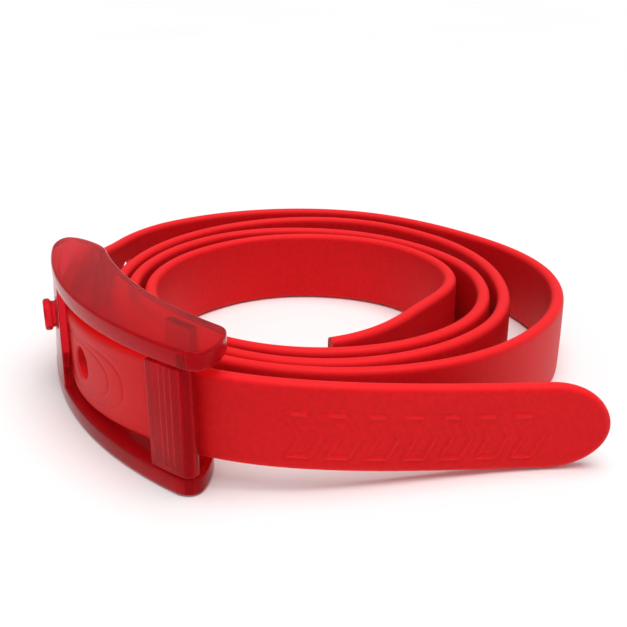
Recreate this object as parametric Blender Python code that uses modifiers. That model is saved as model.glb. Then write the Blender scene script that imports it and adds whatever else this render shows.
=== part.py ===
"""A moulded elastomer belt, coiled on a table, with a curved translucent buckle threaded on it.

The strap stands on edge and winds outwards from its square-cut end. Its fourth turn rises a
little, passes through the buckle and runs on as a free end with a rounded tip. The buckle is a
frame of two deep rails, with a fixed bar and stud at one end and a hinged clamp bar at the other.

Lengths are in metres and +Z is up. The coil is laid out round its own centre, and one empty
carries everything, so that the middle of the object's footprint lies at the world's origin.
"""

import math
from collections import namedtuple

import bmesh
import bpy
import numpy as np
from mathutils import Matrix, Vector

MM = 0.001

# The strap
STRAP_WIDTH = 20.0 * MM
STRAP_THICKNESS = 3.5 * MM
STRAP_STEP = 4.5 * MM  # spacing of the strap's columns
TIP_LENGTH = 13.0 * MM
TIP_COLUMNS = 6
TIP_LAST_ANGLE = math.radians(82.0)  # where the rounded tip ends in a short flat

# The coil: radius of the strap's middle line at each eighth of a turn, counterclockwise from
# the front, one row for each turn. The last row stops where the strap makes for the buckle.
EIGHTHS = 8
TURN_RADII_MM = (
    (42.0, 31.2, 33.0, 32.0, 33.5, 39.5, 46.5, 48.0),
    (47.5, 45.0, 40.0, 36.2, 39.0, 47.0, 51.7, 52.0),
    (53.2, 50.5, 45.5, 46.0, 51.0, 54.0, 56.0, 56.3),
    (57.5, 60.0, 60.0, 55.0, 60.0, 67.5),
)

# The strap's arc through the buckle. Angles run counterclockwise from -X.
STRAP_ARC_CENTRE = Vector((2.5 * MM, -10.5 * MM))
STRAP_ARC_RADIUS = 67.2 * MM
STRAP_ARC_START = math.radians(9.0)
STRAP_ARC_END = math.radians(56.0)

# The free end, from the arc to the tip
TIP_POINT = Vector((58.8 * MM, -64.5 * MM))
TIP_HEADING = math.radians(-5.0)

# The strap rises off the table to clear the buckle's lower rail, climbs a little more on its way
# through the buckle, and sinks back along the free end.
LEFT_LIFT = 4.7 * MM
RIGHT_LIFT = 6.75 * MM
RISE_LENGTH = 38.0 * MM
RISE_LEAD = 12.0 * MM  # the rise ends this far before the arc
CLIMB_LEAD = 15.0 * MM  # the climb starts this far into the arc
FALL_LENGTH = 87.0 * MM

# Holes for the stud, the first one in the buckle's window and the rest back along the strap
HOLE_COUNT = 5
HOLE_DIAMETER = 7.8 * MM
HOLE_PITCH = 25.0 * MM
FIRST_HOLE_ANGLE = math.radians(30.0)

# The buckle, laid out in polar form round its own centre
BUCKLE_CENTRE = Vector((31.0 * MM, 8.5 * MM))
BUCKLE_HEIGHT = 33.5 * MM
RAIL_HEIGHT = 4.2 * MM
RAIL_FRONT = 105.0 * MM
RAIL_START = math.radians(10.0)
RAIL_ROUND = 1.0 * MM
ARC_STEP = math.radians(2.5)
CORNER_STEPS = 5

# The top rail's front edge is drawn in towards the left end
FRONT_DRAW_END = math.radians(40.0)
FRONT_DRAW_REACH = math.radians(30.0)

# The top rail's rear edge bows back from its two ends
BOW_MIDDLE = math.radians(31.0)
BOW_REACH = math.radians(19.0)

# A rounded corner: how deep it cuts in, how far it reaches, and how full its curve is
Corner = namedtuple("Corner", "depth reach power")
Rail = namedtuple("Rail", "end front_draw rear rear_bow left_front left_rear right_front right_rear")
BACK_FACE = 91.5 * MM
TOP_RAIL = Rail(
    end=math.radians(57.5),
    front_draw=2.6 * MM,
    rear=89.8 * MM,
    rear_bow=0.8 * MM,
    left_front=Corner(3.0 * MM, math.radians(4.0), 2.0),
    left_rear=Corner(8.2 * MM, math.radians(7.0), 1.5),
    right_front=Corner(3.2 * MM, math.radians(2.2), 2.0),
    right_rear=Corner(9.0 * MM, math.radians(2.8), 1.5),
)
BOTTOM_RAIL = Rail(
    end=math.radians(55.4),
    front_draw=0.0,
    rear=BACK_FACE,
    rear_bow=0.0,
    left_front=Corner(3.0 * MM, math.radians(4.0), 2.0),
    left_rear=Corner(6.5 * MM, math.radians(4.5), 2.0),
    right_front=Corner(3.2 * MM, math.radians(2.2), 2.0),
    right_rear=Corner(9.8 * MM, math.radians(3.5), 1.3),
)

LEFT_BAR_THICKNESS = 1.6 * MM
LEFT_BAR_START = math.radians(13.0)
LEFT_BAR_END = math.radians(22.5)
BACK_BAR_THICKNESS = 2.0 * MM
LEFT_BACK_BAR_START = math.radians(15.5)
LEFT_BACK_BAR_END = math.radians(19.5)
RIGHT_BACK_BAR_START = math.radians(45.0)
RIGHT_BACK_BAR_END = math.radians(50.0)
JOIN = 0.5 * MM  # how far bars run into the rails they join
BAR_SETBACK = 0.05 * MM  # how far a bar's face stands inside the rails' edge

STUD_ANGLE = math.radians(17.5)
STUD_RISE = 1.2 * MM  # the stud's middle above the buckle's
STUD_NECK_RADIUS = 3.3 * MM
STUD_HEAD_RADIUS = 4.0 * MM
STUD_NECK_LENGTH = 1.4 * MM
STUD_HEAD_LENGTH = 1.1 * MM
STUD_SIDES = 24

# The clamp bar, hinged on a pin that runs through both rails
CLAMP_START = math.radians(49.3)
CLAMP_THICKNESS = 2.4 * MM
CLAMP_GAP = 0.4 * MM
HINGE_ANGLE = math.radians(54.2)
HINGE_RADIUS = 102.8 * MM
KNUCKLE_RADIUS = 2.1 * MM
PIN_RADIUS = 0.8 * MM
PIN_CLEARANCE = 0.3 * MM
PIN_INSET = 0.4 * MM
BORE_ROOF = 1.4 * MM  # the pin's bore is blind in the top rail
PIN_SIDES = 16
TOOTH_COUNT = 3
TOOTH_HEIGHT = 0.45 * MM
TOOTH_PITCH = math.radians(0.9)
TOOTH_HALF_ANGLE = math.radians(0.3)

# Where the coil's centre stands, so that the footprint is centred on the origin
COIL_CENTRE = Vector((4.89 * MM, 8.05 * MM, 0.0))


# The strap's route


def catmull_rom(values, position):
    """Smooth curve through evenly spaced values, read at a position counted in spacings."""
    padded = [2 * values[0] - values[1], *values, 2 * values[-1] - values[-2]]
    index = min(int(position), len(values) - 2)
    t = position - index
    before, here, after, beyond = padded[index : index + 4]
    slope_here = (after - before) / 2
    slope_after = (beyond - here) / 2
    rise = 3 * t**2 - 2 * t**3
    return (
        here * (1 - rise)
        + after * rise
        + slope_here * (t**3 - 2 * t**2 + t)
        + slope_after * (t**3 - t**2)
    )


def hermite(start, start_heading, end, end_heading, count=40):
    """Points on a smooth curve that leaves start and reaches end along the given headings."""
    reach = np.hypot(*(end - start))
    t = np.linspace(0.0, 1.0, count)[:, None]
    rise = 3 * t**2 - 2 * t**3
    return (
        start * (1 - rise)
        + end * rise
        + start_heading * reach * (t**3 - 2 * t**2 + t)
        + end_heading * reach * (t**3 - t**2)
    )


def coil_points():
    """The spiral, from the strap's inner end to where it makes for the buckle."""
    radii = [radius * MM for row in TURN_RADII_MM for radius in row]
    points = []
    for position in np.arange(0.0, len(radii) - 1 + 1e-9, 0.1):
        angle = 2 * math.pi * position / EIGHTHS
        radius = catmull_rom(radii, position)
        points.append((radius * math.sin(angle), -radius * math.cos(angle)))
    return np.array(points)


def arc_point(angle, radius=STRAP_ARC_RADIUS):
    """A point on the strap's arc through the buckle."""
    return np.array(
        (
            STRAP_ARC_CENTRE.x - radius * math.cos(angle),
            STRAP_ARC_CENTRE.y - radius * math.sin(angle),
        )
    )


def arc_heading(angle):
    return np.array((math.sin(angle), -math.cos(angle)))


def strap_route():
    """Dense points of the strap's middle line, their distances along it, and the buckle's span."""
    coil = coil_points()
    coil_heading = coil[-1] - coil[-2]
    coil_heading = coil_heading / np.hypot(*coil_heading)
    arc_angles = np.linspace(STRAP_ARC_START, STRAP_ARC_END, 40)
    arc = np.array([arc_point(angle) for angle in arc_angles])
    approach = hermite(coil[-1], coil_heading, arc[0], arc_heading(STRAP_ARC_START))
    tip_heading = np.array((math.cos(TIP_HEADING), math.sin(TIP_HEADING)))
    free_end = hermite(arc[-1], arc_heading(STRAP_ARC_END), np.array(TIP_POINT), tip_heading)
    points = np.concatenate([coil, approach[1:], arc[1:], free_end[1:]])
    distance = np.concatenate([[0.0], np.cumsum(np.hypot(*np.diff(points, axis=0).T))])
    arc_first = len(coil) + len(approach) - 2
    arc_last = arc_first + len(arc) - 1
    return points, distance, distance[arc_first], distance[arc_last]


def smooth_step(value):
    value = min(max(value, 0.0), 1.0)
    return value * value * (3 - 2 * value)


class Strap:
    """The strap's middle line, read by distance from its inner end."""

    def __init__(self):
        self.points, self.distance, self.arc_start, self.arc_end = strap_route()
        self.length = self.distance[-1]

    def at(self, distance):
        """Place, heading and lift at a distance along the strap."""
        step = 0.5 * MM
        near = max(distance - step, 0.0)
        far = min(distance + step, self.length)
        behind, here, ahead = (
            np.array([np.interp(d, self.distance, self.points[:, axis]) for axis in (0, 1)])
            for d in (near, distance, far)
        )
        heading = (ahead - behind) / np.hypot(*(ahead - behind))
        return here, heading, self.lift(distance)

    def lift(self, distance):
        """Height of the strap's lower edge above the table."""
        risen = smooth_step((distance - self.arc_start + RISE_LEAD) / RISE_LENGTH + 1)
        climb_start = self.arc_start + CLIMB_LEAD
        climbed = smooth_step((distance - climb_start) / (self.arc_end - climb_start))
        fallen = smooth_step((distance - self.arc_end) / FALL_LENGTH)
        return (LEFT_LIFT * risen + (RIGHT_LIFT - LEFT_LIFT) * climbed) * (1 - fallen)


# Objects and collections


def clear_scene():
    for item in list(bpy.data.objects):
        bpy.data.objects.remove(item)


def new_collection(name):
    collection = bpy.data.collections.new(name)
    bpy.context.scene.collection.children.link(collection)
    return collection


def add_object(name, data, collection):
    item = bpy.data.objects.new(name, data)
    collection.objects.link(item)
    return item


def make_cutter(item):
    """Marks a shape that only cuts or joins others, so that it never shows."""
    item.hide_render = True
    item.display_type = "WIRE"
    return item


def mesh_from(bm, name, collection):
    mesh = bpy.data.meshes.new(name)
    bm.to_mesh(mesh)
    bm.free()
    return add_object(name, mesh, collection)


def prism(name, outline, low, high, collection):
    """A flat outline with height: a filled 2D curve, made into a closed mesh."""
    curve = bpy.data.curves.new(name + "_outline", "CURVE")
    curve.dimensions = "2D"
    curve.fill_mode = "BOTH"
    curve.extrude = (high - low) / 2
    spline = curve.splines.new("POLY")
    spline.points.add(len(outline) - 1)
    for point, (x, y) in zip(spline.points, outline):
        point.co = (x, y, 0.0, 1.0)
    spline.use_cyclic_u = True
    guide = add_object(name + "_outline", curve, collection)
    bpy.context.view_layer.update()
    evaluated = guide.evaluated_get(bpy.context.evaluated_depsgraph_get())
    mesh = bpy.data.meshes.new_from_object(evaluated)
    mesh.name = name
    bpy.data.objects.remove(guide)
    bm = bmesh.new()
    bm.from_mesh(mesh)
    bmesh.ops.remove_doubles(bm, verts=bm.verts, dist=1e-6)
    bmesh.ops.recalc_face_normals(bm, faces=bm.faces)
    bmesh.ops.translate(bm, verts=bm.verts, vec=(0.0, 0.0, (low + high) / 2))
    bm.to_mesh(mesh)
    bm.free()
    return add_object(name, mesh, collection)


def leaning_bar(name, low_outline, high_outline, low, high, collection):
    """A bar between two outlines of equal length, each an outer edge and then the inner one."""
    bm = bmesh.new()
    lower = [bm.verts.new((x, y, low)) for x, y in low_outline]
    upper = [bm.verts.new((x, y, high)) for x, y in high_outline]
    count = len(lower)
    for index in range(count):
        following = (index + 1) % count
        bm.faces.new((lower[index], lower[following], upper[following], upper[index]))
    for index in range(count // 2 - 1):
        across = count - 1 - index
        for ring in (lower, upper):
            bm.faces.new((ring[index], ring[index + 1], ring[across - 1], ring[across]))
    bmesh.ops.recalc_face_normals(bm, faces=bm.faces)
    return mesh_from(bm, name, collection)


def cylinder(name, radius, start, end, sides, collection):
    """A closed cylinder between two points."""
    axis = Vector(end) - Vector(start)
    bm = bmesh.new()
    bmesh.ops.create_cone(
        bm,
        cap_ends=True,
        segments=sides,
        radius1=radius,
        radius2=radius,
        depth=axis.length,
    )
    turn = axis.to_track_quat("Z", "Y").to_matrix().to_4x4()
    bm.transform(Matrix.Translation((Vector(start) + Vector(end)) / 2) @ turn)
    return mesh_from(bm, name, collection)


def boolean(item, operation, other):
    modifier = item.modifiers.new(f"{operation.lower()} {other.name}", "BOOLEAN")
    modifier.operation = operation
    modifier.solver = "EXACT"
    modifier.object = other


def bevel(item, width, segments):
    modifier = item.modifiers.new("rounded edges", "BEVEL")
    modifier.width = width
    modifier.segments = segments
    modifier.limit_method = "ANGLE"
    modifier.angle_limit = math.radians(50.0)


def move_origin(item, point):
    """Puts the object's origin on the given point without moving its mesh."""
    item.data.transform(Matrix.Translation(-Vector(point)))
    item.location = point


def smooth_round_faces(item):
    item.data.shade_smooth()
    item.data.set_sharp_from_angle(angle=math.radians(35.0))


def material(name, colour, roughness, transmission=0.0):
    made = bpy.data.materials.new(name)
    made.use_nodes = True
    shader = made.node_tree.nodes["Principled BSDF"]
    shader.inputs["Base Color"].default_value = (*colour, 1.0)
    shader.inputs["Roughness"].default_value = roughness
    shader.inputs["Metallic"].default_value = 0.0
    shader.inputs["Transmission Weight"].default_value = transmission
    return made


# The pieces


def tip_columns(length):
    """Distances of the strap's columns and half the strap's width at each."""
    straight = length - TIP_LENGTH
    count = math.ceil(straight / STRAP_STEP)
    columns = [(straight * index / count, STRAP_WIDTH / 2) for index in range(count)]
    for index in range(TIP_COLUMNS + 1):
        angle = TIP_LAST_ANGLE * index / TIP_COLUMNS
        columns.append(
            (straight + TIP_LENGTH * math.sin(angle), STRAP_WIDTH / 2 * math.cos(angle))
        )
    return columns


def make_strap(strap, collection, cutters):
    """A band on edge: a grid laid along the strap's route, thickened, with the stud's holes."""
    columns = tip_columns(strap.length)
    bm = bmesh.new()
    bmesh.ops.create_grid(bm, x_segments=len(columns) - 1, y_segments=1, size=0.5)
    for vertex in bm.verts:
        distance, half_width = columns[round((vertex.co.x + 0.5) * (len(columns) - 1))]
        place, _, lift = strap.at(distance)
        height = lift + STRAP_WIDTH / 2 + 2 * vertex.co.y * half_width
        vertex.co = (place[0], place[1], height)
    item = mesh_from(bm, "strap", collection)
    thicken = item.modifiers.new("thickness", "SOLIDIFY")
    thicken.thickness = STRAP_THICKNESS
    thicken.offset = 0.0
    first_hole = strap.arc_start + STRAP_ARC_RADIUS * (FIRST_HOLE_ANGLE - STRAP_ARC_START)
    for index in range(HOLE_COUNT):
        place, heading, lift = strap.at(first_hole - index * HOLE_PITCH)
        outward = Vector((heading[1], -heading[0], 0.0))
        middle = Vector((place[0], place[1], lift + STRAP_WIDTH / 2))
        reach = outward * STRAP_THICKNESS
        hole = cylinder(
            f"strap_hole_{index + 1}", HOLE_DIAMETER / 2, middle - reach, middle + reach, 20, cutters
        )
        boolean(item, "DIFFERENCE", make_cutter(hole))
    return item


def polar(radius, angle):
    """A point of the buckle's plan."""
    return (
        BUCKLE_CENTRE.x - radius * math.cos(angle),
        BUCKLE_CENTRE.y - radius * math.sin(angle),
    )


def arc(radius, start, end):
    """Points along one of the buckle's arcs, from start to end."""
    count = max(1, math.ceil(abs(end - start) / ARC_STEP))
    return [polar(radius, start + (end - start) * index / count) for index in range(count + 1)]


def round_end(centre, radius, first, last, count):
    """Points on a circle of the buckle's plan, from one direction to the other."""
    turns = [first + (last - first) * index / count for index in range(count + 1)]
    return [(centre[0] + radius * math.cos(t), centre[1] + radius * math.sin(t)) for t in turns]


def sector(inner, outer, start, end):
    return arc(outer, start, end) + arc(inner, end, start)


def cut_back(corner, into):
    """How far a rounded corner takes an edge in, at an angle past the rail's end."""
    short = min(1.0, max(0.0, 1 - into / corner.reach))
    return corner.depth * (1 - (1 - short**corner.power) ** (1 / corner.power))


def front_radius(rail, angle):
    drawn = max(0.0, (FRONT_DRAW_END - angle) / FRONT_DRAW_REACH)
    radius = RAIL_FRONT - rail.front_draw * drawn**2
    radius -= cut_back(rail.left_front, angle - RAIL_START)
    return radius - cut_back(rail.right_front, rail.end - angle)


def rear_radius(rail, angle):
    aside = (angle - BOW_MIDDLE) / BOW_REACH
    radius = rail.rear + rail.rear_bow * aside**2
    radius += cut_back(rail.left_rear, angle - RAIL_START)
    return radius + cut_back(rail.right_rear, rail.end - angle)


def edge_angles(rail, left, right):
    """Angles along one edge of a rail, closest together at its two corners."""
    turns = [0.5 * math.pi * index / CORNER_STEPS for index in range(CORNER_STEPS)]
    first = [RAIL_START + left.reach * (1 - math.cos(turn)) for turn in turns]
    last = [rail.end - right.reach * (1 - math.cos(turn)) for turn in turns]
    start = RAIL_START + left.reach
    end = rail.end - right.reach
    count = math.ceil((end - start) / ARC_STEP)
    middle = [start + (end - start) * index / count for index in range(count + 1)]
    return first + middle + last[::-1]


def rail_outline(rail):
    """A deep curved rail in plan, with its four corners rounded."""
    front = edge_angles(rail, rail.left_front, rail.right_front)
    rear = edge_angles(rail, rail.left_rear, rail.right_rear)
    outline = [polar(front_radius(rail, angle), angle) for angle in front]
    return outline + [polar(rear_radius(rail, angle), angle) for angle in rear[::-1]]


def left_bar_outline(rail):
    """The fixed bar in plan where it meets a rail, whose front edge it follows."""
    count = math.ceil((LEFT_BAR_END - LEFT_BAR_START) / ARC_STEP)
    outer = []
    inner = []
    for index in range(count + 1):
        angle = LEFT_BAR_START + (LEFT_BAR_END - LEFT_BAR_START) * index / count
        face = front_radius(rail, angle) - BAR_SETBACK
        outer.append(polar(face, angle))
        inner.append(polar(face - LEFT_BAR_THICKNESS, angle))
    return outer + inner[::-1]


def make_stud(cutters):
    """A low button on the left bar, with a neck that the strap's hole grips."""
    height = BUCKLE_HEIGHT / 2 + STUD_RISE
    face = (front_radius(TOP_RAIL, STUD_ANGLE) + front_radius(BOTTOM_RAIL, STUD_ANGLE)) / 2
    root = face - LEFT_BAR_THICKNESS / 2
    waist = face + STUD_NECK_LENGTH
    crown = waist + STUD_HEAD_LENGTH
    neck = cylinder(
        "stud_neck",
        STUD_NECK_RADIUS,
        (*polar(root, STUD_ANGLE), height),
        (*polar(waist + JOIN, STUD_ANGLE), height),
        STUD_SIDES,
        cutters,
    )
    head = cylinder(
        "stud_head",
        STUD_HEAD_RADIUS,
        (*polar(waist, STUD_ANGLE), height),
        (*polar(crown, STUD_ANGLE), height),
        STUD_SIDES,
        cutters,
    )
    bevel(head, STUD_HEAD_LENGTH / 3, 1)
    return [make_cutter(neck), make_cutter(head)]


def make_frame(collection, cutters):
    """Two rails joined by the left bar and two narrow back bars, with bores for the pin."""
    bar_low = RAIL_HEIGHT - JOIN
    bar_high = BUCKLE_HEIGHT - RAIL_HEIGHT + JOIN
    frame = prism("buckle_frame", rail_outline(BOTTOM_RAIL), 0.0, RAIL_HEIGHT, collection)
    bevel(frame, RAIL_ROUND, 2)
    top_rail = prism(
        "top_rail",
        rail_outline(TOP_RAIL),
        BUCKLE_HEIGHT - RAIL_HEIGHT,
        BUCKLE_HEIGHT,
        cutters,
    )
    bevel(top_rail, RAIL_ROUND, 2)
    back_face = BACK_FACE + BAR_SETBACK
    back_front = back_face + BACK_BAR_THICKNESS
    bars = {
        "left_back_bar": sector(back_face, back_front, LEFT_BACK_BAR_START, LEFT_BACK_BAR_END),
        "right_back_bar": sector(back_face, back_front, RIGHT_BACK_BAR_START, RIGHT_BACK_BAR_END),
    }
    left_bar = leaning_bar(
        "left_bar",
        left_bar_outline(BOTTOM_RAIL),
        left_bar_outline(TOP_RAIL),
        bar_low,
        bar_high,
        cutters,
    )
    shapes = [make_cutter(top_rail), make_cutter(left_bar)]
    for name, outline in bars.items():
        shapes.append(make_cutter(prism(name, outline, bar_low, bar_high, cutters)))
    for shape in shapes + make_stud(cutters):
        boolean(frame, "UNION", shape)
    bore = cylinder(
        "pin_bore",
        PIN_RADIUS + PIN_CLEARANCE,
        (*polar(HINGE_RADIUS, HINGE_ANGLE), -RAIL_HEIGHT),
        (*polar(HINGE_RADIUS, HINGE_ANGLE), BUCKLE_HEIGHT - BORE_ROOF),
        PIN_SIDES,
        cutters,
    )
    boolean(frame, "DIFFERENCE", make_cutter(bore))
    return frame


def clamp_outline():
    """The clamp bar in plan: a curved plate that ends in a knuckle round the pin."""
    hinge = polar(HINGE_RADIUS, HINGE_ANGLE)
    inner = RAIL_FRONT - CLAMP_THICKNESS
    plate_end = HINGE_ANGLE - 0.7 * KNUCKLE_RADIUS / HINGE_RADIUS
    tangent = math.pi + HINGE_ANGLE
    knuckle = round_end(hinge, KNUCKLE_RADIUS, tangent, tangent + 1.05 * math.pi, 9)
    teeth = []
    for index in range(TOOTH_COUNT):
        middle = CLAMP_START + (index + 1) * TOOTH_PITCH
        teeth.append(polar(inner, middle - TOOTH_HALF_ANGLE))
        teeth.append(polar(inner - TOOTH_HEIGHT, middle))
        teeth.append(polar(inner, middle + TOOTH_HALF_ANGLE))
    front = arc(RAIL_FRONT, CLAMP_START, plate_end)
    back = [polar(inner, plate_end)] + teeth[::-1] + [polar(inner, CLAMP_START)]
    return front[:-1] + knuckle + back


def make_clamp(collection, cutters):
    """The hinged bar that grips a cut strap end against the frame."""
    low = RAIL_HEIGHT + CLAMP_GAP
    high = BUCKLE_HEIGHT - RAIL_HEIGHT - CLAMP_GAP
    clamp = prism("clamp_bar", clamp_outline(), low, high, collection)
    bore = cylinder(
        "clamp_bore",
        PIN_RADIUS + PIN_CLEARANCE,
        (*polar(HINGE_RADIUS, HINGE_ANGLE), 0.0),
        (*polar(HINGE_RADIUS, HINGE_ANGLE), BUCKLE_HEIGHT),
        PIN_SIDES,
        cutters,
    )
    hinge = Vector((*polar(HINGE_RADIUS, HINGE_ANGLE), 0.0))
    move_origin(clamp, hinge)
    boolean(clamp, "DIFFERENCE", make_cutter(bore))
    return clamp


def make_pin(collection):
    """The plain hinge pin, a little shorter than the buckle is tall."""
    return cylinder(
        "hinge_pin",
        PIN_RADIUS,
        (*polar(HINGE_RADIUS, HINGE_ANGLE), PIN_INSET),
        (*polar(HINGE_RADIUS, HINGE_ANGLE), BUCKLE_HEIGHT - BORE_ROOF - PIN_INSET),
        PIN_SIDES,
        collection,
    )


def main():
    clear_scene()
    parts = new_collection("coiled_belt")
    cutters = new_collection("cutters")
    cutters.hide_render = True

    strap = make_strap(Strap(), parts, cutters)
    frame = make_frame(parts, cutters)
    clamp = make_clamp(parts, cutters)
    pin = make_pin(parts)

    red_elastomer = material("red_elastomer", (0.60, 0.012, 0.016), 0.45)
    crimson_clear = material("crimson_clear", (0.42, 0.010, 0.018), 0.25, 0.6)
    crimson_pin = material("crimson_pin", (0.30, 0.008, 0.012), 0.35)
    strap.data.materials.append(red_elastomer)
    frame.data.materials.append(crimson_clear)
    clamp.data.materials.append(crimson_clear)
    pin.data.materials.append(crimson_pin)

    belt = add_object("belt", None, parts)
    belt.location = COIL_CENTRE
    slide_axis = add_object("buckle_slide_axis", None, parts)
    slide_axis.location = (*STRAP_ARC_CENTRE, 0.0)
    slide_axis.parent = belt
    for item in [strap, *cutters.objects]:
        item.parent = belt
    for item in (frame, clamp, pin):
        item.parent = slide_axis
        item.location -= slide_axis.location
    for item in (strap, frame, clamp, pin):
        smooth_round_faces(item)


main()
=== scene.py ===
"""The looks of a coiled elastomer belt with a see-through buckle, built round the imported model.

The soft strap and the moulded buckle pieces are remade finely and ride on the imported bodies. Most
lengths here are in millimetres, and are scaled to metres where a mesh is made.
"""

import math
from collections import namedtuple

import bmesh
import bpy
import numpy as np
from mathutils import Matrix, Vector


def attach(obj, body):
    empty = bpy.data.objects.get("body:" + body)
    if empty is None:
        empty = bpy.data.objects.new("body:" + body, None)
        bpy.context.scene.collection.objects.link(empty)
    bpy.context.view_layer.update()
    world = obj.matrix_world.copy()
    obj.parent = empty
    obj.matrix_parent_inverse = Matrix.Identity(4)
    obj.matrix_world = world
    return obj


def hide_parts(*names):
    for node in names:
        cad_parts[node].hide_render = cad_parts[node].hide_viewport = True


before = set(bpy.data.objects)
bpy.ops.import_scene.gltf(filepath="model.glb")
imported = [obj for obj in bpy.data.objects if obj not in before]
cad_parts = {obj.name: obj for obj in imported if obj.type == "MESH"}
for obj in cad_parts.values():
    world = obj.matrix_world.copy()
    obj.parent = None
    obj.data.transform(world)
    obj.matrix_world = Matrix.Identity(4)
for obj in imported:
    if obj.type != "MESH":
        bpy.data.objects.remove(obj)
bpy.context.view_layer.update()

MM = 0.001

# The strap's route, in millimetres round the coil's centre
COIL_CENTRE = np.array((4.89, 8.05))
STRAP_WIDTH = 20.0
STRAP_THICKNESS = 3.5
TIP_LENGTH = 13.0
EIGHTHS = 8
TURN_RADII = (
    (42.0, 31.2, 33.0, 32.0, 33.5, 39.5, 46.5, 48.0),
    (47.5, 45.0, 40.0, 36.2, 39.0, 47.0, 51.7, 52.0),
    (53.2, 50.5, 45.5, 46.0, 51.0, 54.0, 56.0, 56.3),
    (57.5, 60.0, 60.0, 55.0, 60.0, 67.5),
)
ARC_CENTRE = np.array((2.5, -10.5))
ARC_RADIUS = 67.2
ARC_START = math.radians(9.0)
ARC_END = math.radians(56.0)
TIP_POINT = np.array((58.8, -64.5))
TIP_HEADING = math.radians(-5.0)
LEFT_LIFT = 4.7
RIGHT_LIFT = 6.75
RISE_LENGTH = 38.0
RISE_LEAD = 12.0
CLIMB_LEAD = 15.0
FALL_LENGTH = 87.0
HOLE_COUNT = 5
HOLE_RADIUS = 3.9
HOLE_PITCH = 25.0
FIRST_HOLE_ANGLE = math.radians(30.0)

# The oval grooves round the first hole, the softened hole rims and the relief on the free end
Egg = namedtuple("Egg", "middle half_length half_width fullness")
EGGS = (Egg(0.2, 14.3, 6.0, 2.3), Egg(2.0, 18.0, 7.0, 2.7))
EGG_DEPTH = 0.26
EGG_LINE = 0.36
EGG_DISH = 0.08
CHEVRON_COUNT = 7
CHEVRON_PITCH = 7.9
CHEVRON_BAND = 4.3
CHEVRON_HALF_HEIGHT = 4.8
CHEVRON_SLOPE = 0.5
MOTIF_MIDDLE_FROM_TIP = 41.8
MOTIF_LOW = -1.5
RIDGE_HEIGHT = 0.24
RIDGE_WIDTH = 0.3
MOAT_DEPTH = 0.15
MOAT_PLACE = 0.72
HOLE_RIM_DEPTH = 0.45
HOLE_RIM_WIDTH = 0.9

# The buckle, in polar form round its own centre
BUCKLE_CENTRE = np.array((31.0, 8.5))
BUCKLE_HEIGHT = 33.5
RAIL_HEIGHT = 4.2
RAIL_FRONT = 105.0
RAIL_START = math.radians(10.0)
FRONT_DRAW_END = math.radians(40.0)
FRONT_DRAW_REACH = math.radians(30.0)
BOW_MIDDLE = math.radians(31.0)
BOW_REACH = math.radians(19.0)
BACK_FACE = 91.5

# A rounded corner: how deep it cuts in, how far it reaches, and how full its curve is
Corner = namedtuple("Corner", "depth reach power")
Rail = namedtuple(
    "Rail", "end front_draw rear rear_bow left_front left_rear right_front right_rear"
)
TOP_RAIL = Rail(
    end=math.radians(57.5),
    front_draw=2.6,
    rear=89.8,
    rear_bow=0.8,
    left_front=Corner(3.0, math.radians(4.0), 2.0),
    left_rear=Corner(8.2, math.radians(7.0), 1.5),
    right_front=Corner(3.2, math.radians(2.2), 2.0),
    right_rear=Corner(9.0, math.radians(2.8), 1.5),
)
BOTTOM_RAIL = Rail(
    end=math.radians(55.4),
    front_draw=0.0,
    rear=BACK_FACE,
    rear_bow=0.0,
    left_front=Corner(3.0, math.radians(4.0), 2.0),
    left_rear=Corner(6.5, math.radians(4.5), 2.0),
    right_front=Corner(3.2, math.radians(2.2), 2.0),
    right_rear=Corner(9.8, math.radians(3.5), 1.3),
)
LEFT_BAR = (math.radians(13.0), math.radians(25.0), 2.0)
LEFT_BACK_BAR = (math.radians(15.5), math.radians(19.5), 2.0)
RIGHT_BACK_BAR = (math.radians(45.0), math.radians(50.0), 2.0)
STUD_ANGLE = math.radians(17.5)
STUD_RISE = 1.2
STUD_SINK = 0.8
STUD_NECK_RADIUS = 3.3
STUD_HEAD_RADIUS = 4.0
STUD_NECK_LENGTH = 0.6
STUD_HEAD_LENGTH = 1.9
STUD_RIM = 0.7
STUD_SHOULDER = 0.5
STUD_RIM_STEPS = 13

# The stud's neck as (distance below the head, extra radius), and its dish as (depth, radius)
STUD_NECK_FLARE = ((0.2, 0.0), (0.05, 0.1))
STUD_DISH = ((0.1, 2.6), (0.45, 2.3), (0.6, 1.9), (0.6, 1.2), (0.3, 0.9), (0.2, 0.5))

BAR_RUN_IN = 0.8
BAR_INSET = 0.1
LEFT_BAR_POINTS = 180
CLAMP_START = math.radians(49.3)
CLAMP_THICKNESS = 2.4
CLAMP_GAP = 0.4
HINGE_ANGLE = math.radians(54.2)
HINGE_RADIUS = 102.8
KNUCKLE_RADIUS = 2.1
PLATE_OVERLAP = 0.7
PIN_RADIUS = 0.8
PIN_END_RADIUS = 0.55
PIN_CHAMFER = 0.25
BORE_RADIUS = 1.1
BORE_ROOF = 1.4
BORE_OVERRUN = 2.0
PIN_INSET = 0.4
TOOTH_COUNT = 3
TOOTH_HEIGHT = 0.45
TOOTH_PITCH = math.radians(0.9)
TOOTH_HALF_ANGLE = math.radians(0.3)

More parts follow.
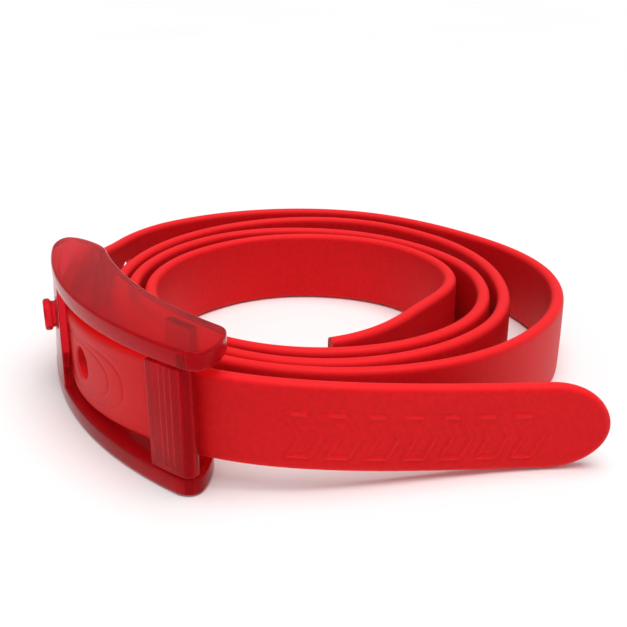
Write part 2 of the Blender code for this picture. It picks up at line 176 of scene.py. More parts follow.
# How finely things are made
EDGE_ROUND = 1.45
CROWN = 0.12
PLAIN_STEP = 1.6
HOLE_STEP = 0.7
FINE_STEP = 0.32
FACE_ROW = 0.36
OUTLINE_STEP = math.radians(0.25)
OUTLINE_CORNER_STEPS = 16
FLAT_FACE_AREA = 8.0
HARD_SMOOTH_ANGLE = 35.0
CLAMP_SMOOTH_ANGLE = 40.0
STRAP_SMOOTH_ANGLE = 50.0
RIM_ROWS = (0.0, 0.06, 0.18, 0.36, 0.62, 0.96, 1.4)
FACE_START = 1.75
GROOVES_BEFORE = 17.5
GROOVES_AFTER = 22.0
CHEVRON_MARGIN = 5.0
HOLE_MARGIN = 6.0
TIP_STEPS = 34
TIP_SHORT = 0.05
RAIL_RIM = 0.7
RAIL_EASE_STEP = 0.3
RAIL_EASE_ROUNDS = 24
BAR_EASE_STEP = 0.2
BAR_EASE_ROUNDS = 3
CLAMP_RIM = 0.25
CLAMP_EASE_STEP = 0.15
CLAMP_EASE_ROUNDS = 3

# Colours, and the places of a mix node's colour entries and of its result
STRAP_DARK_COLOUR = (0.66, 0.0075, 0.0105)
STRAP_LIGHT_COLOUR = (0.72, 0.0095, 0.013)
# The paler rim colour below is a painted highlight, laid on the strap's up- and down-facing rims.
STRAP_RIM_HIGHLIGHT_COLOUR = (0.86, 0.016, 0.020)
CLEAR_THIN_COLOUR = (0.84, 0.020, 0.034)
CLEAR_DEEP_COLOUR = (0.72, 0.012, 0.022)
MIX_FIRST = 6
MIX_SECOND = 7
MIX_RESULT = 2

# The studio: lengths in metres, but for the camera's place
FLOOR_REACH = 6.0
FLOOR_DROP = 0.0002
WORLD_STRENGTH = 0.32
SUN_STRENGTH = 2.5
SUN_ANGLE = math.radians(50.0)
SUN_TILT = (math.radians(8.0), math.radians(6.0), 0.0)
BOX_PLACE = (-0.15, -0.9, 0.45)
BOX_TARGET = (0.0, 0.0, 0.01)
BOX_SIZE = (0.6, 0.4)
BOX_POWER = 1.2
CAMERA_PLACE = (-3.911, -239.12, 109.81)
CAMERA_PITCH = math.radians(23.01)
CAMERA_LENS = 54.2
CAMERA_SENSOR = 36.0


# The strap's route


def catmull_rom(values, positions):
    values = np.asarray(values, float)
    padded = np.concatenate(
        [[2 * values[0] - values[1]], values, [2 * values[-1] - values[-2]]]
    )
    index = np.minimum(positions.astype(int), len(values) - 2)
    t = positions - index
    before, here, after, beyond = (padded[index + offset] for offset in range(4))
    rise = 3 * t**2 - 2 * t**3
    return (
        here * (1 - rise)
        + after * rise
        + (after - before) / 2 * (t**3 - 2 * t**2 + t)
        + (beyond - here) / 2 * (t**3 - t**2)
    )


def hermite(start, start_heading, end, end_heading, count=80):
    reach = np.hypot(*(end - start))
    t = np.linspace(0.0, 1.0, count)[:, None]
    rise = 3 * t**2 - 2 * t**3
    return (
        start * (1 - rise)
        + end * rise
        + start_heading * reach * (t**3 - 2 * t**2 + t)
        + end_heading * reach * (t**3 - t**2)
    )


def smooth_step(value):
    value = np.clip(value, 0.0, 1.0)
    return value * value * (3 - 2 * value)


def softened(values, spread, step):
    """A Gaussian average along a curve that keeps its two ends."""
    reach = int(3 * spread / step)
    offsets = np.arange(-reach, reach + 1) * step
    weights = np.exp(-0.5 * (offsets / spread) ** 2)
    weights /= weights.sum()
    padded = np.concatenate(
        [
            2 * values[0] - values[1 : reach + 1][::-1],
            values,
            2 * values[-1] - values[-reach - 1 : -1][::-1],
        ]
    )
    return np.convolve(padded, weights, "valid")


class Route:
    """The strap's middle line, read by distance in millimetres from its inner end."""

    STEP = 0.5

    def __init__(self):
        radii = [radius for row in TURN_RADII for radius in row]
        positions = np.arange(0.0, len(radii) - 1 + 1e-9, 0.05)
        angle = 2 * math.pi * positions / EIGHTHS
        radius = catmull_rom(radii, np.minimum(positions, len(radii) - 1))
        coil = np.stack([radius * np.sin(angle), -radius * np.cos(angle)], 1)
        heading = (coil[-1] - coil[-2]) / np.hypot(*(coil[-1] - coil[-2]))
        turn = np.linspace(ARC_START, ARC_END, 80)
        arc = ARC_CENTRE - ARC_RADIUS * np.stack([np.cos(turn), np.sin(turn)], 1)
        first = np.array((math.sin(ARC_START), -math.cos(ARC_START)))
        last = np.array((math.sin(ARC_END), -math.cos(ARC_END)))
        tip = np.array((math.cos(TIP_HEADING), math.sin(TIP_HEADING)))
        approach = hermite(coil[-1], heading, arc[0], first)
        free_end = hermite(arc[-1], last, TIP_POINT, tip)
        points = np.concatenate([coil, approach[1:], arc[1:], free_end[1:]])
        along = np.concatenate([[0.0], np.cumsum(np.hypot(*np.diff(points, axis=0).T))])
        arc_first = len(coil) + len(approach) - 2
        self.arc_start = along[arc_first]
        self.arc_end = along[arc_first + len(arc) - 1]
        self.length = along[-1]
        count = int(self.length / self.STEP)
        self.along = np.linspace(0.0, self.length, count + 1)
        step = self.along[1]
        self.plan = np.stack(
            [softened(np.interp(self.along, along, points[:, k]), 1.5, step) for k in (0, 1)], 1
        )
        slope = np.gradient(self.plan, axis=0)
        self.heading = slope / np.hypot(*slope.T)[:, None]

    def read(self, table, distance):
        return np.stack(
            [np.interp(distance, self.along, table[:, k]) for k in range(table.shape[1])], -1
        )

    def lift(self, distance):
        risen = smooth_step((distance - self.arc_start + RISE_LEAD) / RISE_LENGTH + 1)
        climb_start = self.arc_start + CLIMB_LEAD
        climbed = smooth_step((distance - climb_start) / (self.arc_end - climb_start))
        fallen = smooth_step((distance - self.arc_end) / FALL_LENGTH)
        return (LEFT_LIFT * risen + (RIGHT_LIFT - LEFT_LIFT) * climbed) * (1 - fallen)

    def hole(self, index):
        """Distance of the middle of a stud hole."""
        return self.arc_start + ARC_RADIUS * (FIRST_HOLE_ANGLE - ARC_START) - index * HOLE_PITCH


# Mesh making


def make_mesh(name, points, faces, smooth_angle=HARD_SMOOTH_ANGLE):
    """A mesh object from points in millimetres round the coil's centre."""
    mesh = bpy.data.meshes.new(name)
    placed = np.asarray(points, float).copy()
    placed[:, :2] += COIL_CENTRE
    mesh.from_pydata((placed * MM).tolist(), [], faces)
    item = bpy.data.objects.new(name, mesh)
    bpy.context.scene.collection.objects.link(item)
    bm = bmesh.new()
    bm.from_mesh(mesh)
    bmesh.ops.recalc_face_normals(bm, faces=bm.faces)
    bm.to_mesh(mesh)
    bm.free()
    shade(item, smooth_angle)
    return item


def shade(item, smooth_angle):
    """Smooth shading, but for sharp edges and for large faces, which are flat by design."""
    for face in item.data.polygons:
        face.use_smooth = face.area < FLAT_FACE_AREA * MM**2
    item.data.set_sharp_from_angle(angle=math.radians(smooth_angle))


def apply_modifiers(item):
    graph = bpy.context.evaluated_depsgraph_get()
    mesh = bpy.data.meshes.new_from_object(item.evaluated_get(graph))
    old = item.data
    item.modifiers.clear()
    item.data = mesh
    bpy.data.meshes.remove(old)


def cut(item, cutter):
    modifier = item.modifiers.new("cut", "BOOLEAN")
    modifier.operation = "DIFFERENCE"
    modifier.solver = "EXACT"
    modifier.object = cutter
    bpy.context.view_layer.update()
    apply_modifiers(item)
    bpy.data.objects.remove(cutter)


def joined_sides(columns, rows, first, second):
    """Faces that close two grids of points, one above the other, into one body."""
    faces = []
    for i in range(columns - 1):
        for j in range(rows - 1):
            a, b = i * rows + j, (i + 1) * rows + j
            faces.append((first + a, first + b, first + b + 1, first + a + 1))
            faces.append((second + a, second + a + 1, second + b + 1, second + b))
    for i in range(columns - 1):
        for j in (0, rows - 1):
            a, b = i * rows + j, (i + 1) * rows + j
            faces.append((first + a, second + a, second + b, first + b))
    for i in (0, columns - 1):
        for j in range(rows - 1):
            a = i * rows + j
            faces.append((first + a, first + a + 1, second + a + 1, second + a))
    return faces


# The strap


def egg_distance(egg, x, y):
    """Distance outwards from an oval line on the strap, roughly in millimetres."""
    across = np.abs(x - egg.middle) / egg.half_length
    up = np.abs(y) / egg.half_width
    power = egg.fullness
    total = across**power + up**power + 1e-9
    share = total ** (1 / power)
    slope = np.hypot(
        across ** (power - 1) / egg.half_length, up ** (power - 1) / egg.half_width
    ) * total ** (1 / power - 1)
    return (share - 1) / np.maximum(slope, 1e-4)


def chevron_distance(x, y):
    """Distance outwards from the nearest of a row of chevrons that point along +x."""
    index = np.clip(np.round(x / CHEVRON_PITCH), -(CHEVRON_COUNT // 2), CHEVRON_COUNT // 2)
    local = x - index * CHEVRON_PITCH + CHEVRON_SLOPE * (np.abs(y) - CHEVRON_HALF_HEIGHT / 2)
    sideways = (np.abs(local) - CHEVRON_BAND / 2) / math.hypot(1.0, CHEVRON_SLOPE)
    upwards = np.abs(y) - CHEVRON_HALF_HEIGHT
    outside = np.hypot(np.maximum(sideways, 0.0), np.maximum(upwards, 0.0))
    return outside + np.minimum(np.maximum(sideways, upwards), 0.0)


def strap_relief(route, distance, height):
    """How far the strap's outer face stands proud, in millimetres."""
    relief = np.zeros(np.broadcast(distance, height).shape)
    x = distance - route.hole(0)
    for egg in EGGS:
        gap = egg_distance(egg, x, height)
        relief -= EGG_DEPTH * np.exp(-((gap / EGG_LINE) ** 2))
        relief -= EGG_DISH * smooth_step(0.5 - gap)
    for index in range(HOLE_COUNT):
        ring = np.hypot(distance - route.hole(index), height) - HOLE_RADIUS
        relief -= HOLE_RIM_DEPTH * np.clip(1 - ring / HOLE_RIM_WIDTH, 0.0, 1.0) ** 2
    along = distance - (route.length - MOTIF_MIDDLE_FROM_TIP)
    gap = chevron_distance(along, height - MOTIF_LOW)
    near = np.abs(along) < CHEVRON_PITCH * (CHEVRON_COUNT // 2 + 1)
    ridge = RIDGE_HEIGHT * np.exp(-((gap / RIDGE_WIDTH) ** 2))
    for place in (MOAT_PLACE, -MOAT_PLACE):
        ridge -= MOAT_DEPTH * np.exp(-(((gap - place) / RIDGE_WIDTH) ** 2))
    return relief + np.where(near, ridge, 0.0)


def strap_columns(route):
    """Distances of the strap's columns, close together wherever there is detail."""
    straight = route.length - TIP_LENGTH
    spans = [(route.hole(0) - GROOVES_BEFORE, route.hole(0) + GROOVES_AFTER, FINE_STEP)]
    reach = CHEVRON_PITCH * (CHEVRON_COUNT // 2) + CHEVRON_MARGIN
    middle = route.length - MOTIF_MIDDLE_FROM_TIP
    spans.append((middle - reach, min(middle + reach, straight), FINE_STEP))
    for index in range(1, HOLE_COUNT):
        spans.append((route.hole(index) - HOLE_MARGIN, route.hole(index) + HOLE_MARGIN, HOLE_STEP))
    marks = sorted({0.0, straight, *(edge for span in spans for edge in span[:2])})
    columns = []
    for start, end in zip(marks, marks[1:]):
        centre = (start + end) / 2
        steps = [step for low, high, step in spans if low < centre < high]
        count = max(1, math.ceil((end - start) / min([PLAIN_STEP, *steps])))
        columns.extend(np.linspace(start, end, count, endpoint=False))
    turns = np.linspace(0.0, 0.5 * math.pi - TIP_SHORT, TIP_STEPS)
    return np.concatenate([columns, straight + TIP_LENGTH * np.sin(turns)])


def strap_rows():
    """Shares of the half width, from one rim to the other."""
    count = round((STRAP_WIDTH / 2 - FACE_START) / FACE_ROW)
    face = np.linspace(FACE_START, STRAP_WIDTH / 2, count)
    half = 1 - np.concatenate([RIM_ROWS, face]) / (STRAP_WIDTH / 2)
    return np.concatenate([-half, half[:-1][::-1]])


def make_strap(route):
    """The whole band: rounded rims, softly crowned faces, grooves and relief, then its holes."""
    distance = strap_columns(route)
    rows = strap_rows()
    straight = route.length - TIP_LENGTH
    into_tip = np.clip((distance - straight) / TIP_LENGTH, 0.0, 1.0)
    half_width = STRAP_WIDTH / 2 * np.sqrt(1 - into_tip**2)
    height = rows[None, :] * half_width[:, None]
    share = np.hypot(into_tip[:, None], height / (STRAP_WIDTH / 2))
    slope = np.hypot(into_tip[:, None] / TIP_LENGTH, height / (STRAP_WIDTH / 2) ** 2)
    to_rim = np.where(
        into_tip[:, None] > 0,
        (1 - share) * share / np.maximum(slope, 1e-6),
        STRAP_WIDTH / 2 - np.abs(height),
    )
    dip = np.clip(EDGE_ROUND - to_rim, 0.0, EDGE_ROUND)
    half = STRAP_THICKNESS / 2 - EDGE_ROUND + np.sqrt(np.maximum(EDGE_ROUND**2 - dip**2, 0.0))
    half = half - CROWN * (height / (STRAP_WIDTH / 2)) ** 2
    plan = route.read(route.plan, distance)
    heading = route.read(route.heading, distance)
    outward = np.stack([heading[:, 1], -heading[:, 0]], 1)
    outward /= np.hypot(*outward.T)[:, None]
    relief = strap_relief(route, distance[:, None], height)
    level = route.lift(distance)[:, None] + STRAP_WIDTH / 2 + height

    def side(offset):
        flat = plan[:, None, :] + outward[:, None, :] * offset[:, :, None]
        return np.concatenate([flat, level[:, :, None]], 2).reshape(-1, 3)

    outer = side(half + relief)
    inner = side(-half)
    faces = joined_sides(len(distance), len(rows), 0, len(outer))
    points = np.concatenate([outer, inner])
    item = make_mesh("strap_moulding", points, faces, STRAP_SMOOTH_ANGLE)
    cut(item, hole_cutters(route))
    shade(item, STRAP_SMOOTH_ANGLE)
    return item


def hole_cutters(route):
    bm = bmesh.new()
    for index in range(HOLE_COUNT):
        distance = np.array(route.hole(index))
        place = route.read(route.plan, distance) + COIL_CENTRE
        heading = route.read(route.heading, distance)
        outward = Vector((heading[1], -heading[0], 0.0)).normalized()
        middle = Vector((*place, route.lift(distance) + STRAP_WIDTH / 2)) * MM
        made = bmesh.ops.create_cone(
            bm,
            cap_ends=True,
            segments=64,
            radius1=HOLE_RADIUS * MM,
            radius2=HOLE_RADIUS * MM,
            depth=3 * STRAP_THICKNESS * MM,
        )
        turn = outward.to_track_quat("Z", "Y").to_matrix().to_4x4()
        bmesh.ops.transform(bm, matrix=Matrix.Translation(middle) @ turn, verts=made["verts"])
    mesh = bpy.data.meshes.new("hole_cutters")
    bm.to_mesh(mesh)
    bm.free()
    item = bpy.data.objects.new("hole_cutters", mesh)
    bpy.context.scene.collection.objects.link(item)
    return item


# The buckle


def polar(radius, angle):
    radius, angle = np.broadcast_arrays(radius, angle)
    return BUCKLE_CENTRE - radius[..., None] * np.stack([np.cos(angle), np.sin(angle)], -1)


def cut_back(corner, into):
    """How far a rounded corner takes an edge in, at an angle past the rail's end."""
    short = np.clip(1 - into / corner.reach, 0.0, 1.0)
    return corner.depth * (1 - (1 - short**corner.power) ** (1 / corner.power))


def front_radius(rail, angle):
    drawn = np.maximum(0.0, (FRONT_DRAW_END - angle) / FRONT_DRAW_REACH)
    radius = RAIL_FRONT - rail.front_draw * drawn**2
    radius = radius - cut_back(rail.left_front, angle - RAIL_START)
    return radius - cut_back(rail.right_front, rail.end - angle)


def rear_radius(rail, angle):
    aside = (angle - BOW_MIDDLE) / BOW_REACH
    radius = rail.rear + rail.rear_bow * aside**2
    radius = radius + cut_back(rail.left_rear, angle - RAIL_START)
    return radius + cut_back(rail.right_rear, rail.end - angle)


def edge_angles(rail, left, right):
    """Angles along one edge of a rail, closest together at its two corners."""
    turns = np.linspace(0.0, 0.5 * math.pi, OUTLINE_CORNER_STEPS)
    first = RAIL_START + left.reach * (1 - np.cos(turns))
    last = rail.end - right.reach * (1 - np.cos(turns))
    middle = np.arange(first[-1], last[-1], OUTLINE_STEP)[1:]
    return np.concatenate([first, middle, last[::-1]])


def rail_outline(rail):
    front = edge_angles(rail, rail.left_front, rail.right_front)
    rear = edge_angles(rail, rail.left_rear, rail.right_rear)[::-1]
    return np.concatenate(
        [polar(front_radius(rail, front), front), polar(rear_radius(rail, rear), rear)]
    )


def evened(outline, step, count=None):
    """The same closed outline with points at even distances."""
    closed = np.concatenate([outline, outline[:1]])
    along = np.concatenate([[0.0], np.cumsum(np.hypot(*np.diff(closed, axis=0).T))])
    places = np.linspace(0.0, along[-1], count or int(along[-1] / step), endpoint=False)
    return np.stack([np.interp(places, along, closed[:, k]) for k in (0, 1)], 1)


def inset(outline, distance):
    """Moves a closed outline's points inwards, keeping their number."""
    before = np.roll(outline, 1, axis=0)
    after = np.roll(outline, -1, axis=0)
    slope = after - before
    slope = slope / np.maximum(np.hypot(*slope.T), 1e-9)[:, None]
    area = np.sum(outline[:, 0] * after[:, 1] - outline[:, 1] * after[:, 0])
    turn = 1.0 if area > 0 else -1.0
    return outline + turn * distance * np.stack([-slope[:, 1], slope[:, 0]], 1)


def rounded_prism(name, outline, low, high, edge, crown=0.0, rings=6):
    """An upright body with rounded rims and a flat top and underside; the crown argument is not
    used.
    """
    layers = []
    for ring in range(rings):
        turn = 0.5 * math.pi * ring / (rings - 1)
        layers.append((edge * (1 - math.sin(turn)), edge * (1 - math.cos(turn))))
    points = []
    count = len(outline)
    for away, rise in layers:
        points.append(np.column_stack([inset(outline, away), np.full(count, low + rise)]))
    for away, rise in reversed(layers):
        points.append(np.column_stack([inset(outline, away), np.full(count, high - rise)]))
    faces = []
    for ring in range(len(points) - 1):
        for i in range(count):
            j = (i + 1) % count
            a, b = ring * count, (ring + 1) * count
            faces.append((a + i, a + j, b + j, b + i))
    last = (len(points) - 1) * count
    faces.append(tuple(range(count))[::-1])
    faces.append(tuple(range(last, last + count)))
    return make_mesh(name, np.concatenate(points), faces)


def prism(name, outline, low, high, upper=None):
    """A closed body between an outline and the same or another one above it."""
    count = len(outline)
    upper = outline if upper is None else upper
    points = np.concatenate(
        [
            np.column_stack([outline, np.full(count, low)]),
            np.column_stack([upper, np.full(count, high)]),
        ]
    )
    faces = [tuple(range(count))[::-1], tuple(range(count, 2 * count))]
    for i in range(count):
        j = (i + 1) % count
        faces.append((i, j, count + j, count + i))
    return make_mesh(name, points, faces)


def bar_outline(start, end, inner, outer):
    """A curved bar in plan; inner and outer give its radii at any angle."""
    angle = np.linspace(start, end, 24)
    return np.concatenate([polar(outer(angle), angle), polar(inner(angle), angle)[::-1]])


def relaxed(outline, step, rounds, count=None):
    """A closed outline with even steps and its sharp corners eased."""
    outline = evened(outline, step, count)
    for _ in range(rounds):
        outline = (np.roll(outline, 1, axis=0) + 2 * outline + np.roll(outline, -1, axis=0)) / 4
    return outline


def turned(name, profile, start, direction, sides=72):
    """A round body on an axis, from (distance along the axis, radius) pairs."""
    axis = Vector(direction).normalized()
    side = axis.orthogonal().normalized()
    other = axis.cross(side)
    points = []
    for along, radius in profile:
        for step in range(sides):
            turn = 2 * math.pi * step / sides
            offset = side * math.cos(turn) + other * math.sin(turn)
            points.append(Vector(start) + axis * along + offset * radius)
    faces = []
    rings = len(profile)
    for ring in range(rings - 1):
        for step in range(sides):
            following = (step + 1) % sides
            a, b = ring * sides, (ring + 1) * sides
            faces.append((a + step, a + following, b + following, b + step))
    faces.append(tuple(range(sides))[::-1])
    faces.append(tuple(range((rings - 1) * sides, rings * sides)))
    return make_mesh(name, [tuple(point) for point in points], faces)


def join(item, other):
    """Joins two overlapping closed bodies into one."""
    modifier = item.modifiers.new("join", "BOOLEAN")
    modifier.operation = "UNION"
    modifier.solver = "EXACT"
    modifier.object = other
    bpy.context.view_layer.update()
    apply_modifiers(item)
    bpy.data.objects.remove(other)


def hinge_cylinder(name, radius, low, high, sides=48):
    place = polar(np.array(HINGE_RADIUS), np.array(HINGE_ANGLE))
    return turned(name, [(0.0, radius), (high - low, radius)], (*place, low), (0, 0, 1), sides)


def make_frame():
    """Rails, bars and stud as one see-through moulding, bored for the pin."""
    bar_low, bar_high = RAIL_HEIGHT - BAR_RUN_IN, BUCKLE_HEIGHT - RAIL_HEIGHT + BAR_RUN_IN
    bottom = relaxed(rail_outline(BOTTOM_RAIL), RAIL_EASE_STEP, RAIL_EASE_ROUNDS)
    top = relaxed(rail_outline(TOP_RAIL), RAIL_EASE_STEP, RAIL_EASE_ROUNDS)
    moulding = rounded_prism("buckle_moulding", bottom, 0.0, RAIL_HEIGHT, RAIL_RIM)
    rail_base = BUCKLE_HEIGHT - RAIL_HEIGHT
    join(moulding, rounded_prism("top_rail", top, rail_base, BUCKLE_HEIGHT, RAIL_RIM))

    start, end, thick = LEFT_BAR
    outlines = []
    for rail in (BOTTOM_RAIL, TOP_RAIL):
        outline = bar_outline(
            start,
            end,
            lambda a, r=rail: front_radius(r, a) - BAR_INSET - thick,
            lambda a, r=rail: front_radius(r, a) - BAR_INSET,
        )
        outlines.append(relaxed(outline, BAR_EASE_STEP, BAR_EASE_ROUNDS, LEFT_BAR_POINTS))
    join(moulding, prism("left_bar", outlines[0], bar_low, bar_high, outlines[1]))
    for start, end, thick in (LEFT_BACK_BAR, RIGHT_BACK_BAR):
        outline = bar_outline(
            start,
            end,
            lambda a: 0 * a + BACK_FACE + BAR_INSET,
            lambda a, t=thick: 0 * a + BACK_FACE + t,
        )
        eased = relaxed(outline, BAR_EASE_STEP, BAR_EASE_ROUNDS)
        join(moulding, prism("back_bar", eased, bar_low, bar_high))
    face = 0.5 * sum(float(front_radius(rail, STUD_ANGLE)) for rail in (TOP_RAIL, BOTTOM_RAIL))
    join(moulding, make_stud(face))
    cut(moulding, hinge_cylinder("bore", BORE_RADIUS, -BORE_OVERRUN, BUCKLE_HEIGHT - BORE_ROOF))
    shade(moulding, HARD_SMOOTH_ANGLE)
    return moulding


def make_stud(face):
    """A button with a thick rounded rim round a dished middle."""
    level = BUCKLE_HEIGHT / 2 + STUD_RISE
    root = (*polar(np.array(face - STUD_SINK), np.array(STUD_ANGLE)), level)
    outward = (-math.cos(STUD_ANGLE), -math.sin(STUD_ANGLE), 0.0)
    crown = STUD_SINK + STUD_NECK_LENGTH + STUD_HEAD_LENGTH
    waist = STUD_SINK + STUD_NECK_LENGTH
    profile = [(0.0, STUD_NECK_RADIUS)]
    profile += [(waist - depth, STUD_NECK_RADIUS + extra) for depth, extra in STUD_NECK_FLARE]
    profile.append((waist, STUD_HEAD_RADIUS - STUD_SHOULDER))
    for turn in np.linspace(-0.5 * math.pi, 0.5 * math.pi, STUD_RIM_STEPS):
        middle = waist + STUD_RIM + (crown - waist - 2 * STUD_RIM) * (turn > 0)
        reach = STUD_HEAD_RADIUS - STUD_RIM + STUD_RIM * math.cos(turn)
        profile.append((middle + STUD_RIM * math.sin(turn), reach))
    profile += [(crown - depth, radius) for depth, radius in STUD_DISH]
    return turned("stud", profile, root, outward)


def make_clamp():
    """The hinged bar, with teeth behind its free edge and a bored knuckle."""
    hinge = polar(np.array(HINGE_RADIUS), np.array(HINGE_ANGLE))
    inner = RAIL_FRONT - CLAMP_THICKNESS
    plate_end = HINGE_ANGLE - PLATE_OVERLAP * KNUCKLE_RADIUS / HINGE_RADIUS
    angle = np.linspace(CLAMP_START, plate_end, 25)
    front = polar(RAIL_FRONT, angle)
    tangent = math.pi + HINGE_ANGLE
    turns = np.linspace(tangent, tangent + 1.05 * math.pi, 28)
    knuckle = hinge + KNUCKLE_RADIUS * np.stack([np.cos(turns), np.sin(turns)], 1)
    back = [polar(np.array(inner), np.array(plate_end))]
    for index in reversed(range(TOOTH_COUNT)):
        middle = CLAMP_START + (index + 1) * TOOTH_PITCH
        back.append(polar(np.array(inner), np.array(middle + TOOTH_HALF_ANGLE)))
        back.append(polar(np.array(inner - TOOTH_HEIGHT), np.array(middle)))
        back.append(polar(np.array(inner), np.array(middle - TOOTH_HALF_ANGLE)))
    back.append(polar(np.array(inner), np.array(CLAMP_START)))
    outline = np.concatenate([front[:-1], knuckle, np.array(back)])
    item = rounded_prism(
        "clamp_moulding",
        relaxed(outline, CLAMP_EASE_STEP, CLAMP_EASE_ROUNDS),
        RAIL_HEIGHT + CLAMP_GAP,
        BUCKLE_HEIGHT - RAIL_HEIGHT - CLAMP_GAP,
        CLAMP_RIM,
    )
    cut(item, hinge_cylinder("clamp_bore", BORE_RADIUS, 0.0, BUCKLE_HEIGHT))
    shade(item, CLAMP_SMOOTH_ANGLE)
    return item


def make_pin():
    """The hinge pin, chamfered at both ends."""
    place = polar(np.array(HINGE_RADIUS), np.array(HINGE_ANGLE))
    length = BUCKLE_HEIGHT - BORE_ROOF - 2 * PIN_INSET
    profile = [
        (0.0, PIN_END_RADIUS),
        (PIN_CHAMFER, PIN_RADIUS),
        (length - PIN_CHAMFER, PIN_RADIUS),
        (length, PIN_END_RADIUS),
    ]
    return turned("pin_detail", profile, (*place, PIN_INSET), (0, 0, 1), 40)


# Materials


class Nodes:
    """A short way to write a material's nodes."""

    def __init__(self, name):
        self.material = bpy.data.materials.new(name)
        self.material.use_nodes = True
        self.tree = self.material.node_tree
        self.shader = self.tree.nodes["Principled BSDF"]

    def add(self, kind, **settings):
        node = self.tree.nodes.new(kind)
        for key, value in settings.items():
            if hasattr(node, key):
                setattr(node, key, value)
            else:
                node.inputs[key.replace("_", " ")].default_value = value
        return node

    def link(self, source, output, target, entry):
        self.tree.links.new(source.outputs[output], target.inputs[entry])

    def noise(self, scale, detail=2.0, roughness=0.5):
        coordinates = self.add("ShaderNodeTexCoord")
        node = self.add("ShaderNodeTexNoise", Scale=scale, Detail=detail, Roughness=roughness)
        self.link(coordinates, "Object", node, "Vector")
        return node

    def ramp(self, source, output, stops):
        node = self.add("ShaderNodeValToRGB")
        elements = node.color_ramp.elements
        while len(elements) < len(stops):
            elements.new(0.5)
        for element, (place, colour) in zip(elements, stops):
            element.position = place
            element.color = (*colour, 1.0)
        self.link(source, output, node, "Fac")
        return node

    def grey(self, source, output, low, high):
        """Maps a 0 to 1 value to a range."""
        node = self.add("ShaderNodeMapRange")
        node.inputs["To Min"].default_value = low
        node.inputs["To Max"].default_value = high
        self.link(source, output, node, "Value")
        return node

    def mix(self, factor, first, second, blend="MIX"):
        """Mixes two colours by a number or by a node's output."""
        node = self.add("ShaderNodeMix", data_type="RGBA", blend_type=blend)
        if isinstance(factor, float):
            node.inputs["Factor"].default_value = factor
        else:
            self.tree.links.new(factor, node.inputs["Factor"])
        for entry, value in ((MIX_FIRST, first), (MIX_SECOND, second)):
            if isinstance(value, tuple):
                node.inputs[entry].default_value = (*value, 1.0)
            else:
                self.tree.links.new(value, node.inputs[entry])
        return node

    def bumps(self, layers):
        """Stacks bumps, each given as a node, its output, a height in metres and a strength."""
        last = None
        for source, output, distance, strength in layers:
            node = self.add("ShaderNodeBump", Distance=distance, Strength=strength)
            self.link(source, output, node, "Height")
            if last is not None:
                self.link(last, "Normal", node, "Normal")
            last = node
        self.link(last, "Normal", self.shader, "Normal")


def strap_material():
    """Matt red elastomer: slightly cloudy, with a fine skin and a painted highlight on its up- and
    down-facing rims.
    """
    nodes = Nodes("red_elastomer_detail")
    broad = nodes.noise(28.0, 3.0)
    fine = nodes.noise(900.0, 2.0)
    skin = nodes.noise(2600.0, 1.0)
    body = nodes.ramp(broad, "Fac", ((0.3, STRAP_DARK_COLOUR), (0.7, STRAP_LIGHT_COLOUR)))
    specks = nodes.ramp(fine, "Fac", ((0.35, (0.90, 0.90, 0.90)), (0.65, (1.0, 1.0, 1.0))))
    tinted = nodes.mix(1.0, body.outputs["Color"], specks.outputs["Color"], "MULTIPLY")
    # Painted highlight: where the normal points up or down, the colour is mixed towards the paler
    # rim colour.
    coordinates = nodes.add("ShaderNodeTexCoord")
    parts = nodes.add("ShaderNodeSeparateXYZ")
    nodes.link(coordinates, "Normal", parts, "Vector")
    upright = nodes.add("ShaderNodeMath", operation="ABSOLUTE")
    nodes.link(parts, "Z", upright, 0)
    rim = nodes.grey(upright, "Value", 0.0, 1.0)
    rim.inputs["From Min"].default_value = 0.25
    rim.inputs["From Max"].default_value = 1.0
    rim_highlight_mix = nodes.mix(rim.outputs["Result"], tinted.outputs[MIX_RESULT], STRAP_RIM_HIGHLIGHT_COLOUR)
    nodes.tree.links.new(rim_highlight_mix.outputs[MIX_RESULT], nodes.shader.inputs["Base Color"])
    dull = nodes.grey(fine, "Fac", 0.46, 0.58)
    nodes.link(dull, "Result", nodes.shader, "Roughness")
    nodes.bumps([(fine, "Fac", 0.00006, 0.35), (skin, "Fac", 0.00002, 0.3)])
    shader = nodes.shader
    shader.inputs["Specular IOR Level"].default_value = 0.32
    shader.inputs["Specular Tint"].default_value = (1.0, 0.22, 0.25, 1.0)
    shader.inputs["Subsurface Weight"].default_value = 0.35
    shader.inputs["Subsurface Radius"].default_value = (1.0, 0.06, 0.05)
    shader.inputs["Subsurface Scale"].default_value = 0.0016
    return nodes.material


def clear_material(name, thin, deep):
    """Tinted see-through plastic with a slightly frosted, lightly scuffed skin."""
    nodes = Nodes(name)
    cloud = nodes.noise(45.0, 3.0)
    scuff = nodes.noise(700.0, 3.0, 0.6)
    tint = nodes.ramp(cloud, "Fac", ((0.32, deep), (0.68, thin)))
    nodes.tree.links.new(tint.outputs["Color"], nodes.shader.inputs["Base Color"])
    frost = nodes.grey(scuff, "Fac", 0.12, 0.20)
    nodes.link(frost, "Result", nodes.shader, "Roughness")
    nodes.bumps([(cloud, "Fac", 0.0006, 0.15), (scuff, "Fac", 0.000008, 0.2)])
    shader = nodes.shader
    shader.inputs["IOR"].default_value = 1.24
    shader.inputs["Specular Tint"].default_value = (1.0, 0.12, 0.16, 1.0)
    shader.inputs["Transmission Weight"].default_value = 0.8
    return nodes.material


def pin_material():
    nodes = Nodes("crimson_pin_detail")
    grain = nodes.noise(1500.0, 2.0)
    tint = nodes.ramp(grain, "Fac", ((0.3, (0.26, 0.006, 0.010)), (0.7, (0.34, 0.009, 0.014))))
    nodes.tree.links.new(tint.outputs["Color"], nodes.shader.inputs["Base Color"])
    dull = nodes.grey(grain, "Fac", 0.30, 0.42)
    nodes.link(dull, "Result", nodes.shader, "Roughness")
    nodes.bumps([(grain, "Fac", 0.00002, 0.3)])
    return nodes.material


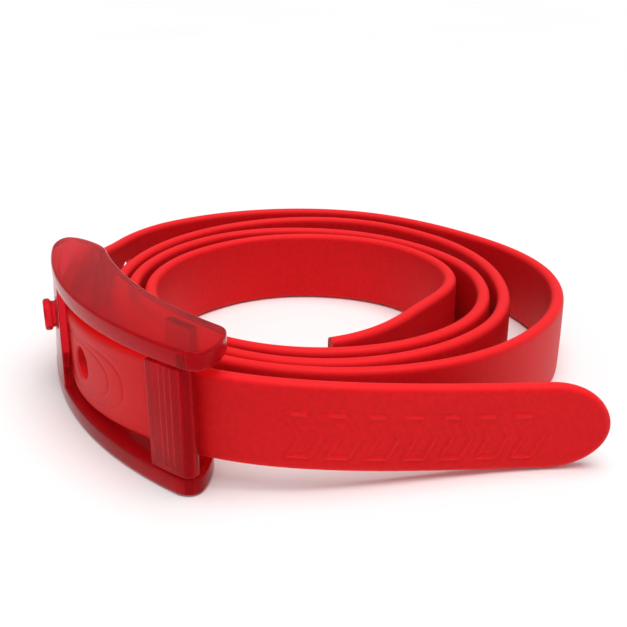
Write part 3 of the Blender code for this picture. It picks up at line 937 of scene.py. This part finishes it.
def floor_material():
    nodes = Nodes("pale_floor")
    cloud = nodes.noise(3.0, 2.0)
    tint = nodes.ramp(cloud, "Fac", ((0.3, (0.90, 0.90, 0.90)), (0.7, (0.93, 0.93, 0.93))))
    nodes.tree.links.new(tint.outputs["Color"], nodes.shader.inputs["Base Color"])
    nodes.shader.inputs["Roughness"].default_value = 0.9
    nodes.shader.inputs["Specular IOR Level"].default_value = 0.1
    return nodes.material


def dress(item, material, body, slot, *nodes):
    item.data.materials.clear()
    item.data.materials.append(material)
    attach(item, body)
    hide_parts(*nodes)


# The studio


def add_floor():
    mesh = bpy.data.meshes.new("floor")
    sides = ((-1, -1), (1, -1), (1, 1), (-1, 1))
    corners = [(x * FLOOR_REACH, y * FLOOR_REACH, 0) for x, y in sides]
    mesh.from_pydata(corners, [], [(0, 1, 2, 3)])
    floor = bpy.data.objects.new("floor", mesh)
    floor.location.z = -FLOOR_DROP
    floor.data.materials.append(floor_material())
    bpy.context.scene.collection.objects.link(floor)


def add_area(name, place, target, size, power):
    light = bpy.data.lights.new(name, "AREA")
    light.shape = "RECTANGLE"
    light.size, light.size_y = size
    light.energy = power
    item = bpy.data.objects.new(name, light)
    item.location = place
    item.rotation_euler = (Vector(target) - Vector(place)).to_track_quat("-Z", "Y").to_euler()
    bpy.context.scene.collection.objects.link(item)


def add_lights():
    world = bpy.data.worlds.new("studio")
    world.use_nodes = True
    background = world.node_tree.nodes["Background"]
    background.inputs["Color"].default_value = (1.0, 1.0, 1.0, 1.0)
    background.inputs["Strength"].default_value = WORLD_STRENGTH
    bpy.context.scene.world = world
    sun = bpy.data.lights.new("overhead", "SUN")
    sun.energy = SUN_STRENGTH
    sun.angle = SUN_ANGLE
    item = bpy.data.objects.new("overhead", sun)
    item.rotation_euler = SUN_TILT
    bpy.context.scene.collection.objects.link(item)
    add_area("front_box", BOX_PLACE, BOX_TARGET, BOX_SIZE, BOX_POWER)
    bpy.context.scene.view_settings.view_transform = "Standard"


def add_camera():
    camera = bpy.data.cameras.new("camera")
    camera.sensor_width = CAMERA_SENSOR
    camera.lens = CAMERA_LENS
    camera.clip_start = 0.01
    camera.clip_end = 50.0
    item = bpy.data.objects.new("camera", camera)
    x, y, z = CAMERA_PLACE
    item.location = ((x + COIL_CENTRE[0]) * MM, (y + COIL_CENTRE[1]) * MM, z * MM)
    item.rotation_euler = (0.5 * math.pi - CAMERA_PITCH, 0.0, 0.0)
    bpy.context.scene.collection.objects.link(item)
    bpy.context.scene.camera = item


def main():
    add_camera()
    clear = clear_material("crimson_clear_detail", CLEAR_THIN_COLOUR, CLEAR_DEEP_COLOUR)
    dress(make_strap(Route()), strap_material(), "strap", "red_elastomer", "strap")
    dress(make_frame(), clear, "buckle", "crimson_clear", "buckle_frame")
    dress(make_clamp(), clear, "clamp", "crimson_clear", "clamp_bar")
    dress(make_pin(), pin_material(), "buckle", "crimson_pin", "hinge_pin")
    add_floor()
    add_lights()


main()
